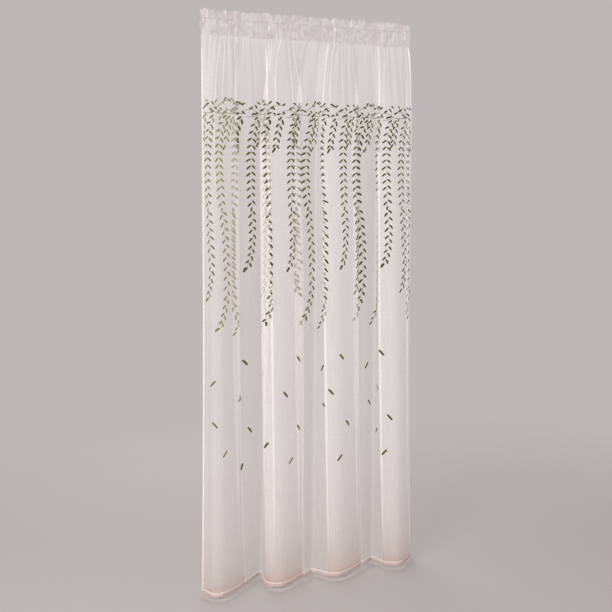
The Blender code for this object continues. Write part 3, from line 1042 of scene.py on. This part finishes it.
def thread_material(name, dark, light, rim_highlight, twist):
    """Embroidery thread: fine slanting plies with a soft shine, darker in the middle of a shape.

    The colour runs from dark to light by the tube's own "tone", and towards the rim colour, a painted
    highlight, with the distance from its middle line, so the middle keeps painted shade. The grooves
    between the plies are darkened with painted shade. twist is the plies' pitch.
    """
    material, tree = new_material(name)
    place, along, across = metres(tree)
    off_middle = maths(tree, "ABSOLUTE", across)
    ply = stripes(tree, maths(tree, "MULTIPLY_ADD", off_middle, PLY_SLANT, along), twist)
    speckle = maths(tree, "SUBTRACT", noise(tree, place, SPECKLE_SCALE), 0.5)
    mottled = maths(tree, "MULTIPLY_ADD", speckle, SPECKLE_SWING, point_value(tree, "tone"))
    body = blend_colours(tree, mottled, dark, light)
    # Painted highlight towards the rim, painted shade in the middle.
    rim_highlighted = blend_colours(tree, smooth_ramp(tree, off_middle, *RIM_HIGHLIGHT_LIMITS), body, rim_highlight)
    # Painted shade in the grooves between the plies.
    groove_shade = tuple(GROOVE_SHADE_DARKNESS * part for part in dark)
    colour = blend_colours(tree, maths(tree, "MULTIPLY", ply, GROOVE_SHADE_SHARE), rim_highlighted, groove_shade)
    shader = add_node(
        tree, "ShaderNodeBsdfPrincipled",
        {"Base Color": colour, "Roughness": 0.50, "Sheen Weight": 0.05, "Sheen Roughness": 0.4,
         "Specular IOR Level": 0.25, "Normal": bumped(tree, ply, *PLY_BUMP)},
    )
    finish_material(tree, shader.outputs[0])
    return material


# The third colour is the rim's painted highlight.
THREAD_COLUMNS = ("dark", "light", "rim_highlight", "twist")
THREADS = {
    "leaf_thread": ((0.026, 0.022, 0.004), (0.235, 0.230, 0.050), (0.50, 0.50, 0.15), 0.0006),
    "stem_thread": ((0.100, 0.100, 0.030), (0.480, 0.470, 0.220), (0.30, 0.32, 0.12), 0.0005),
    "sewing_thread": ((0.78, 0.74, 0.73), (0.86, 0.83, 0.82), (0.86, 0.83, 0.82), 0.0004),
}

leaf_thread, stem_thread, sewing_thread = (
    thread_material(name, **dict(zip(THREAD_COLUMNS, row))) for name, row in THREADS.items()
)
print("threads:", ", ".join(THREADS))

# %% [markdown]
# The embroidery
#
# The design repeats across the cloth. Each repeat has a few long strands and short twigs that swing
# down from a band of arching stems. Along a strand the leaves come in pairs. At the top the right
# one hangs a little lower, and at the bottom the left one does. So a strand needs only a row of
# numbers, and its leaves are worked out. The band has no such rule, and its leaves and stems are
# charted one by one for one repeat. The single leaves that drift below are charted for the whole cloth.
# A painted image would be flat and blurred from close by, so every leaf is a shape of its own.

# %% The chart of one repeat
REPEAT = 0.315
REPEAT_STARTS = 0.280 + REPEAT * np.arange(-1, 4)
STRAND_START = 0.372
NODE_DROP = 0.358

STRAND_COLUMNS = ("across", "end", "swing", "tail")
STRANDS = (
    (0.011, 0.940, 0.030, 0.024),
    (0.076, 1.040, 0.034, 0.030),
    (0.141, 1.150, 0.038, 0.040),
    (0.241, 1.172, 0.028, 0.058),
    (0.046, 0.480, 0.014, 0.012),
    (0.184, 0.495, 0.016, 0.014),
    (0.288, 0.500, 0.020, 0.010),
)
SWING_REACH = 0.045
SWAY = 0.020
SWAY_MIDDLE = 0.34
SWAY_SOFTNESS = 0.12
QUIVER_DEPTH = 0.004
QUIVER_RATE = 9.0
QUIVER_START_RATE = 20
TAIL_REACH = 0.15

# Pairs of leaves, read at the distance below the strand's start. The stagger is how far the right
# leaf hangs below the middle of its pair, and the left one above it.
PAIR_COLUMNS = ("down", "pitch", "stagger", "tilt_deg", "length")
PAIRS = (
    (0.00, 0.0245, 0.0050, 44, 0.0212),
    (0.13, 0.0245, 0.0000, 48, 0.0208),
    (0.30, 0.0270, -0.0040, 47, 0.0208),
    (0.42, 0.0300, -0.0060, 42, 0.0212),
    (0.60, 0.0360, -0.0090, 40, 0.0220),
    (0.85, 0.0360, -0.0090, 38, 0.0220),
)
print("strands in a repeat:", len(STRANDS))

# %% The charted leaves and stems
# The place of each leaf's middle, across and down from the ruffle's top, its tilt in degrees from
# straight down, and its length.
BAND_LEAVES = (
    (0.015, 0.340, -60, 0.020), (0.035, 0.335, 40, 0.018), (0.058, 0.345, -65, 0.020),
    (0.080, 0.334, -65, 0.026), (0.074, 0.321, 35, 0.014), (0.106, 0.330, 40, 0.017),
    (0.120, 0.343, -40, 0.012), (0.131, 0.347, 60, 0.017), (0.070, 0.370, -30, 0.015),
    (0.145, 0.357, -50, 0.016), (0.155, 0.349, 48, 0.016), (0.161, 0.367, 35, 0.016),
    (0.151, 0.381, -25, 0.017), (0.165, 0.326, 65, 0.017), (0.176, 0.313, -40, 0.018),
    (0.194, 0.317, 62, 0.022), (0.208, 0.313, 42, 0.016), (0.182, 0.350, 55, 0.013),
    (0.200, 0.354, 50, 0.015), (0.222, 0.328, -62, 0.015), (0.238, 0.328, 42, 0.014),
    (0.262, 0.338, -50, 0.018), (0.272, 0.343, 60, 0.017), (0.293, 0.323, 60, 0.020),
    (0.307, 0.327, -48, 0.016), (0.292, 0.362, -62, 0.016), (0.311, 0.357, 55, 0.015),
    (0.022, 0.362, -55, 0.017), (0.046, 0.322, 62, 0.016), (0.096, 0.352, 50, 0.016),
    (0.133, 0.322, -35, 0.015), (0.218, 0.348, -50, 0.017), (0.240, 0.348, 45, 0.016),
    (0.256, 0.320, -40, 0.015), (0.276, 0.362, 40, 0.015),
)
DRIFTING_LEAVES = (
    (0.065, 1.336, -42, 0.033), (0.072, 1.487, 42, 0.032), (0.115, 1.596, -40, 0.032),
    (0.255, 1.413, 42, 0.029), (0.284, 1.278, 42, 0.032), (0.298, 1.537, 42, 0.032),
    (0.262, 1.672, -24, 0.031), (0.468, 1.322, 42, 0.030), (0.509, 1.586, -38, 0.031),
    (0.587, 1.397, 42, 0.032), (0.607, 1.652, -42, 0.032), (0.645, 1.270, 42, 0.032),
    (0.650, 1.532, 42, 0.032), (0.821, 1.314, -35, 0.032), (0.828, 1.455, 40, 0.020),
    (0.874, 1.404, 42, 0.032), (0.912, 1.272, 42, 0.032), (0.937, 1.531, 42, 0.032),
    (0.898, 1.662, -42, 0.033), (1.089, 1.325, -40, 0.031), (1.110, 1.477, 42, 0.032),
    (1.168, 1.414, 42, 0.030), (1.159, 1.590, -42, 0.032), (1.224, 1.272, 42, 0.031),
    (1.247, 1.528, 42, 0.032), (1.224, 1.669, -42, 0.032),
)
# The two ends of each stem, and how far it sags between them.
STEM_COLUMNS = ("from_across", "from_drop", "to_across", "to_drop", "bow")
BAND_STEMS = (
    (0.000, 0.372, 0.046, 0.360, 0.004),
    (-0.010, 0.352, 0.044, 0.358, -0.010),
    (0.046, 0.360, 0.112, 0.357, 0.005),
    (0.060, 0.344, 0.112, 0.357, -0.012),
    (0.112, 0.357, 0.182, 0.362, 0.004),
    (0.130, 0.348, 0.205, 0.313, -0.008),
    (0.182, 0.362, 0.252, 0.354, 0.005),
    (0.200, 0.352, 0.252, 0.354, -0.010),
    (0.252, 0.354, 0.315, 0.360, 0.004),
    (0.262, 0.340, 0.306, 0.328, -0.004),
)
print("charted: %d band leaves, %d drifting leaves, %d band stems" % (
    len(BAND_LEAVES), len(DRIFTING_LEAVES), len(BAND_STEMS)))

# %% The line of a strand
SLANT_SPAN = 0.002


def strand_across(strand, drop):
    """Where a strand runs at each drop.

    It swings in from its right below the band, an exponential, sways to the right halfway down, a
    hyperbolic tangent, and its tail bends to the left, a square. A small sine makes it quiver.
    """
    down = np.maximum(drop - STRAND_START, 0)
    swing = strand["swing"] * np.exp(-down / SWING_REACH)
    sway = SWAY / 2 * (1 + np.tanh((down - SWAY_MIDDLE) / SWAY_SOFTNESS))
    left = np.maximum(TAIL_REACH - (strand["end"] - drop), 0) / TAIL_REACH
    quiver = QUIVER_DEPTH * np.sin(QUIVER_RATE * down + QUIVER_START_RATE * strand["across"])
    return strand["across"] + swing + sway + quiver - strand["tail"] * left**2


def strand_direction(strand, drop):
    """The strand's own slant at each drop, in degrees from straight down."""
    ahead = strand_across(strand, drop + SLANT_SPAN) - strand_across(strand, drop - SLANT_SPAN)
    return np.degrees(np.arctan2(ahead, 2 * SLANT_SPAN))


# %% The leaves of a strand
FIRST_PAIR = 0.004
LAST_PAIR = 0.024
READING_STEP = 0.0005
TAIL_PITCH = 0.0240
TAIL_NARROWING = 0.35
TAIL_SHRINKING = 0.15
TILT_JITTER_DEG = 6
SIZE_JITTER = (0.90, 1.08)
STEM_GAP = 0.0018
TIP_LEAF = {"gap": 0.018, "tilt_deg": -25, "length": 0.024}
BUD_DOWN = 0.325
BUD_GAP = 0.042
BUD_MARGIN = 0.1
BUD_LEAF = {"tilt_deg": -10.0, "length": 0.017}
NODE_LEAF = {"rise": 0.003, "tilt_deg": -62.0, "length": 0.019}

rng = np.random.default_rng(11)


def strand_leaves(strand, start):
    """The leaves of one strand: across, drop, tilt and length of each leaf from its base.

    Pairs follow one another at the pitch that PAIRS gives: the steps of fine divided by the pitch
    are summed, and a pair sits wherever the sum passes a whole number. In the tail the pairs are
    closer and lie nearer to the stem. A long strand has a bud in a wider gap, and a leaf at its node.
    """
    fine = np.arange(STRAND_START + FIRST_PAIR, strand["end"] - LAST_PAIR, READING_STEP)
    pairs = dict(zip(PAIR_COLUMNS, np.array(PAIRS).T))
    in_tail = np.clip(1 - (strand["end"] - fine) / TAIL_REACH, 0, 1) ** 0.5
    pitch = np.interp(fine - STRAND_START, pairs["down"], pairs["pitch"])
    pitch = pitch + (TAIL_PITCH - pitch) * in_tail
    pitch = np.where(np.abs(fine - STRAND_START - BUD_DOWN) < BUD_GAP / 2, BUD_GAP, pitch)
    counted = np.cumsum(READING_STEP / pitch)
    drop = np.interp(np.arange(0, counted[-1]), counted, fine)
    tail = np.interp(drop, fine, in_tail)
    stagger, tilt, length = (
        np.interp(drop - STRAND_START, pairs["down"], pairs[column])
        for column in ("stagger", "tilt_deg", "length")
    )
    rows = []
    for side in (-1, 1):
        at = drop + side * stagger
        jitter = rng.uniform(-TILT_JITTER_DEG, TILT_JITTER_DEG, len(drop))
        turn = side * tilt * (1 - TAIL_NARROWING * tail) + jitter
        size = length * rng.uniform(*SIZE_JITTER, len(drop)) * (1 - TAIL_SHRINKING * tail)
        slant = strand_direction(strand, at) + turn
        base = start + strand_across(strand, at) + side * STEM_GAP
        rows.append(np.stack([base, at, slant, size], axis=1))
    tip = strand["end"] - TIP_LEAF["gap"]
    ends = [(tip, strand_direction(strand, tip) + TIP_LEAF["tilt_deg"], TIP_LEAF["length"])]
    if strand["end"] > STRAND_START + BUD_DOWN + BUD_MARGIN:
        after = np.searchsorted(drop, STRAND_START + BUD_DOWN)
        bud = (drop[after - 1] + drop[after]) / 2
        ends.append((bud, BUD_LEAF["tilt_deg"], BUD_LEAF["length"]))
        ends.append((NODE_DROP - NODE_LEAF["rise"], NODE_LEAF["tilt_deg"], NODE_LEAF["length"]))
    for at, slant, size in ends:
        rows.append(np.array([[start + strand_across(strand, at), at, slant, size]]))
    return np.concatenate(rows)


# %% All the leaves on the cloth
EMBROIDERY_MARGIN = 0.6 * SIDE_HEM_WIDTH


def charted_leaves(chart, start):
    """Leaves charted by their middles, moved back by half their length to their bases."""
    across, drop, tilt, length = np.array(chart).T
    base_across = across - length / 2 * np.sin(np.radians(tilt)) + start
    base_drop = drop - length / 2 * np.cos(np.radians(tilt))
    return np.column_stack([base_across, base_drop, tilt, length])


def between_hems(across):
    """Whether all the places in each row lie between the two side hems."""
    return (across.min(axis=1) > EMBROIDERY_MARGIN) & (across.max(axis=1) < CLOTH_WIDTH - EMBROIDERY_MARGIN)


strands = [dict(zip(STRAND_COLUMNS, row)) for row in STRANDS]
leaves = np.concatenate(
    [strand_leaves(strand, start) for start in REPEAT_STARTS for strand in strands]
    + [charted_leaves(BAND_LEAVES, start) for start in REPEAT_STARTS]
    + [charted_leaves(DRIFTING_LEAVES, 0.0)]
)
tips = leaves[:, 0] + leaves[:, 3] * np.sin(np.radians(leaves[:, 2]))
leaves = leaves[between_hems(np.stack([leaves[:, 0], tips], axis=1))]
leaf_across, leaf_drop, leaf_tilt, leaf_length = leaves.T[:, :, None]
print("leaves: %d" % len(leaves))

# %% [markdown]
# A leaf is a flat pad of thread, wide in the middle and blunt at both ends. Where the folded grid
# squeezes or stretches the cloth, a leaf would turn out too narrow or too wide, so its path is
# divided by the local width first. The light makes some leaves on each fold look paler, and a tone
# for each leaf does the same here.

# %% The leaves
LEAF_RINGS = 7
LEAF_SIDES = 6
LEAF_ENDS = (0.02, 0.98)
LEAF_BEND = 0.0008
LEAF_HALF_WIDTH = 0.0033
LEAF_HALF_THICKNESS = 0.0008
TYPICAL_LEAF = 0.0185
LEAF_LEAN = 0.85
LEAF_ROUNDNESS = 0.45
DRAWN_LIMITS = (0.75, 1.40)
LEAF_SHINE = (
    (0.00, 0.35), (0.07, 0.40), (0.10, 0.95), (0.22, 0.80), (0.27, 0.25), (0.41, 0.35), (0.50, 0.10),
    (0.66, 0.15), (0.71, 0.45), (0.78, 0.10), (1.40, 0.10),
)
LEAF_TONE_JITTER = 0.15

drawn_step = np.linalg.norm(np.gradient(panel_points, axis=1), axis=2)
row, column = panel_place(leaf_across, leaf_drop)
nearest = (np.round(row).astype(int), np.clip(np.round(column).astype(int), 0, COLUMNS - 1))
drawn_wide = np.clip(drawn_step[nearest] / across_grid[1], *DRAWN_LIMITS)
print("cloth is drawn %.2f to %.2f times its width under the leaves" % (drawn_wide.min(), drawn_wide.max()))

ring = np.linspace(*LEAF_ENDS, LEAF_RINGS)[None, :]
angle = np.radians(leaf_tilt)
bend = LEAF_BEND * np.sin(np.pi * ring) * np.sign(leaf_tilt)
reach = leaf_length * ring
leaf_paths = np.stack([
    leaf_across + (reach * np.sin(angle) + bend * np.cos(angle)) / drawn_wide,
    leaf_drop + reach * np.cos(angle) - bend * np.sin(angle),
], axis=-1)
# A sine to a power under one is broad, and a power on its place moves its middle to the leaf's base.
leaf_swell = np.sin(np.pi * ring**LEAF_LEAN) ** LEAF_ROUNDNESS
leaf_width = LEAF_HALF_WIDTH * leaf_swell * (leaf_length / TYPICAL_LEAF) ** 0.5
leaf_tone = np.interp(leaf_across[:, 0], *np.array(LEAF_SHINE).T)
leaf_tone = leaf_tone + rng.uniform(-LEAF_TONE_JITTER, LEAF_TONE_JITTER, len(leaves))
embroidered_leaves = sewn_piece(
    "embroidered_leaves", leaf_paths, leaf_width, LEAF_HALF_THICKNESS * leaf_swell, LEAF_SIDES, on_panel,
    leaf_thread, values={"tone": np.clip(leaf_tone, 0, 1)},
)

# %% [markdown]
# Stems are the thinnest thread, hardly more than a millimetre wide. A strand's stem is the line that
# its leaves were placed on, and the band's stems are straight lines that sag by a bow of their own.
# The band is stitched with a thicker and darker line than the strands.

# %% The stems
STEM_HALF_WIDTH = 0.00055
STEM_HALF_THICKNESS = 0.0004
STEM_STOP = 0.02
STEM_SIDES = 6
STEM_TONES = (0.6, 1.0)
STRAND_RINGS = 48
BAND_STEM_WIDENING = 1.6
BAND_STEM_HALF_THICKNESS = 0.0005
BAND_STEM_TONES = (0.0, 0.3)
BAND_RINGS = 10

strand_paths = []
for start in REPEAT_STARTS:
    for strand in strands:
        drop = np.linspace(NODE_DROP, strand["end"] - STEM_STOP, STRAND_RINGS)
        strand_paths.append(np.stack([start + strand_across(strand, drop), drop], axis=-1))
share = np.linspace(0, 1, BAND_RINGS)
band_paths = []
for start in REPEAT_STARTS:
    for row in BAND_STEMS:
        stem = dict(zip(STEM_COLUMNS, row))
        across = stem["from_across"] + (stem["to_across"] - stem["from_across"]) * share
        drop = stem["from_drop"] + (stem["to_drop"] - stem["from_drop"]) * share
        band_paths.append(np.stack([start + across, drop + stem["bow"] * np.sin(np.pi * share)], axis=-1))

strand_paths, band_paths = (
    paths[between_hems(paths[..., 0])] for paths in (np.array(strand_paths), np.array(band_paths))
)
strand_stems = sewn_piece(
    "strand_stems", strand_paths, STEM_HALF_WIDTH, STEM_HALF_THICKNESS, STEM_SIDES, on_panel, stem_thread,
    values={"tone": rng.uniform(*STEM_TONES, len(strand_paths))},
)
band_stems = sewn_piece(
    "band_stems", band_paths, STEM_HALF_WIDTH * BAND_STEM_WIDENING, BAND_STEM_HALF_THICKNESS, STEM_SIDES,
    on_panel, stem_thread, values={"tone": rng.uniform(*BAND_STEM_TONES, len(band_paths))},
)

# %% [markdown]
# The sewing is a plain lock stitch: short stitches end to end along a seam. On the panel they run
# along the hems, and on the heading they follow the two seams over every pucker, front and back. A
# striped texture would be cheaper, but these seams are seen from close by and at a slant.

# %% Rows of stitches
STITCH_PITCH = 0.0034
STITCH_LENGTH = 0.0025
STITCH_HALF_WIDTH = 0.00035
STITCH_SIDES = 5
STITCH_SWELL = np.array([[0.35, 1.0, 1.0, 0.35]])


def stitch_row(first, last):
    """Short paths end to end along a straight line from first to last."""
    first, last = np.array(first, float), np.array(last, float)
    span = np.linalg.norm(last - first)
    middles = np.arange(STITCH_PITCH / 2, span, STITCH_PITCH)[:, None]
    local = np.linspace(-STITCH_LENGTH / 2, STITCH_LENGTH / 2, STITCH_SWELL.size)[None, :]
    return first + (middles + local)[..., None] * (last - first) / span


# %% The stitches of the hems
HEM_STITCH_RISE = 0.0015
HEM_STITCH_HALF_THICKNESS = 0.0016
HEM_ROW_START = 0.004
SIDE_ROW_START = 0.002

hem_row = BOTTOM - HEM_DEPTH + HEM_STITCH_RISE
side_row = SIDE_HEM_WIDTH - HEM_STITCH_RISE
side_row_top = RUFFLE_TOP - PANEL_TOP + SIDE_ROW_START
panel_stitches = np.concatenate([
    stitch_row((HEM_ROW_START, hem_row), (CLOTH_WIDTH - HEM_ROW_START, hem_row)),
    stitch_row((side_row, side_row_top), (side_row, hem_row)),
    stitch_row((CLOTH_WIDTH - side_row, side_row_top), (CLOTH_WIDTH - side_row, hem_row)),
])
hem_stitches = sewn_piece(
    "hem_stitches", panel_stitches, STITCH_HALF_WIDTH * STITCH_SWELL,
    HEM_STITCH_HALF_THICKNESS * STITCH_SWELL, STITCH_SIDES, on_panel, sewing_thread,
    values={"tone": rng.uniform(0.0, 1.0, len(panel_stitches))},
)

# %% The stitches of the heading
HEADING_STITCH_NARROWING = 0.9
HEADING_STITCH_HALF_THICKNESS = 0.0004
HEADING_ROW_START = 0.003
POCKET_SEAM_RISE = 0.0015


def on_heading(across, place, lift):
    """Points on the heading: across metres of cloth from its left end, place metres round its profile."""
    row = np.interp(place, loop_place, np.arange(len(loop_place)))
    return read_grid(heading_points, heading_normals, row, across / CLOTH_WIDTH * (X_READINGS - 1), lift)


front_heights = heading_points[:PROFILE_READINGS, 0, 2]
upper_seam = np.interp(STITCH_LINE, front_heights, loop_place[:PROFILE_READINGS])
seam_places = (upper_seam, loop_place[-1] - upper_seam, POCKET_SEAM_RISE, loop_place[-1] - POCKET_SEAM_RISE)
heading_rows = np.concatenate([
    stitch_row((HEADING_ROW_START, place), (CLOTH_WIDTH - HEADING_ROW_START, place))
    for place in seam_places
])
heading_stitches = sewn_piece(
    "heading_stitches", heading_rows, STITCH_HALF_WIDTH * HEADING_STITCH_NARROWING * STITCH_SWELL,
    HEADING_STITCH_HALF_THICKNESS * STITCH_SWELL, STITCH_SIDES, on_heading, sewing_thread,
    values={"tone": rng.uniform(0.0, 1.0, len(heading_rows))},
)

# %% [markdown]
# The curtain ends just above a plain pale floor. A disc is enough. Its colour fades to nothing far
# out, where the world's grey takes over, so no edge shows behind the cloth.

# %% The floor
FLOOR_HEIGHT = -2.099
FLOOR_RADIUS = 4.0
FLOOR_SIDES = 96
FLOOR_FADE = (0.9, 3.6)
FLOOR_GRAIN = 60.0
FLOOR_COLOURS = ((0.365, 0.340, 0.332), (0.390, 0.364, 0.355))


def floor_material():
    """Matt pale grey that fades to nothing with its distance from the middle."""
    material, tree = new_material("studio_floor")
    place = add_node(tree, "ShaderNodeTexCoord").outputs["Object"]
    flat = add_node(tree, "ShaderNodeVectorMath", {0: place, 1: (1, 1, 0)}, operation="MULTIPLY").outputs[0]
    distance = add_node(tree, "ShaderNodeVectorMath", {0: flat}, operation="LENGTH").outputs["Value"]
    tone = blend_colours(tree, noise(tree, place, FLOOR_GRAIN), *FLOOR_COLOURS)
    matt = add_node(tree, "ShaderNodeBsdfPrincipled", {"Base Color": tone, "Roughness": 0.9})
    clear = add_node(tree, "ShaderNodeBsdfTransparent")
    fade = smooth_ramp(tree, distance, *FLOOR_FADE)
    mix = add_node(tree, "ShaderNodeMixShader", {0: fade, 1: matt.outputs[0], 2: clear.outputs[0]})
    finish_material(tree, mix.outputs[0])
    return material


bpy.ops.mesh.primitive_circle_add(
    vertices=FLOOR_SIDES, radius=FLOOR_RADIUS, fill_type="NGON", location=(0, 0, FLOOR_HEIGHT)
)
floor = bpy.context.object
floor.name = "studio_floor"
floor.data.materials.append(floor_material())
print("floor: %.0f mm below the hem" % (1000 * (HEM - FLOOR_HEIGHT)))
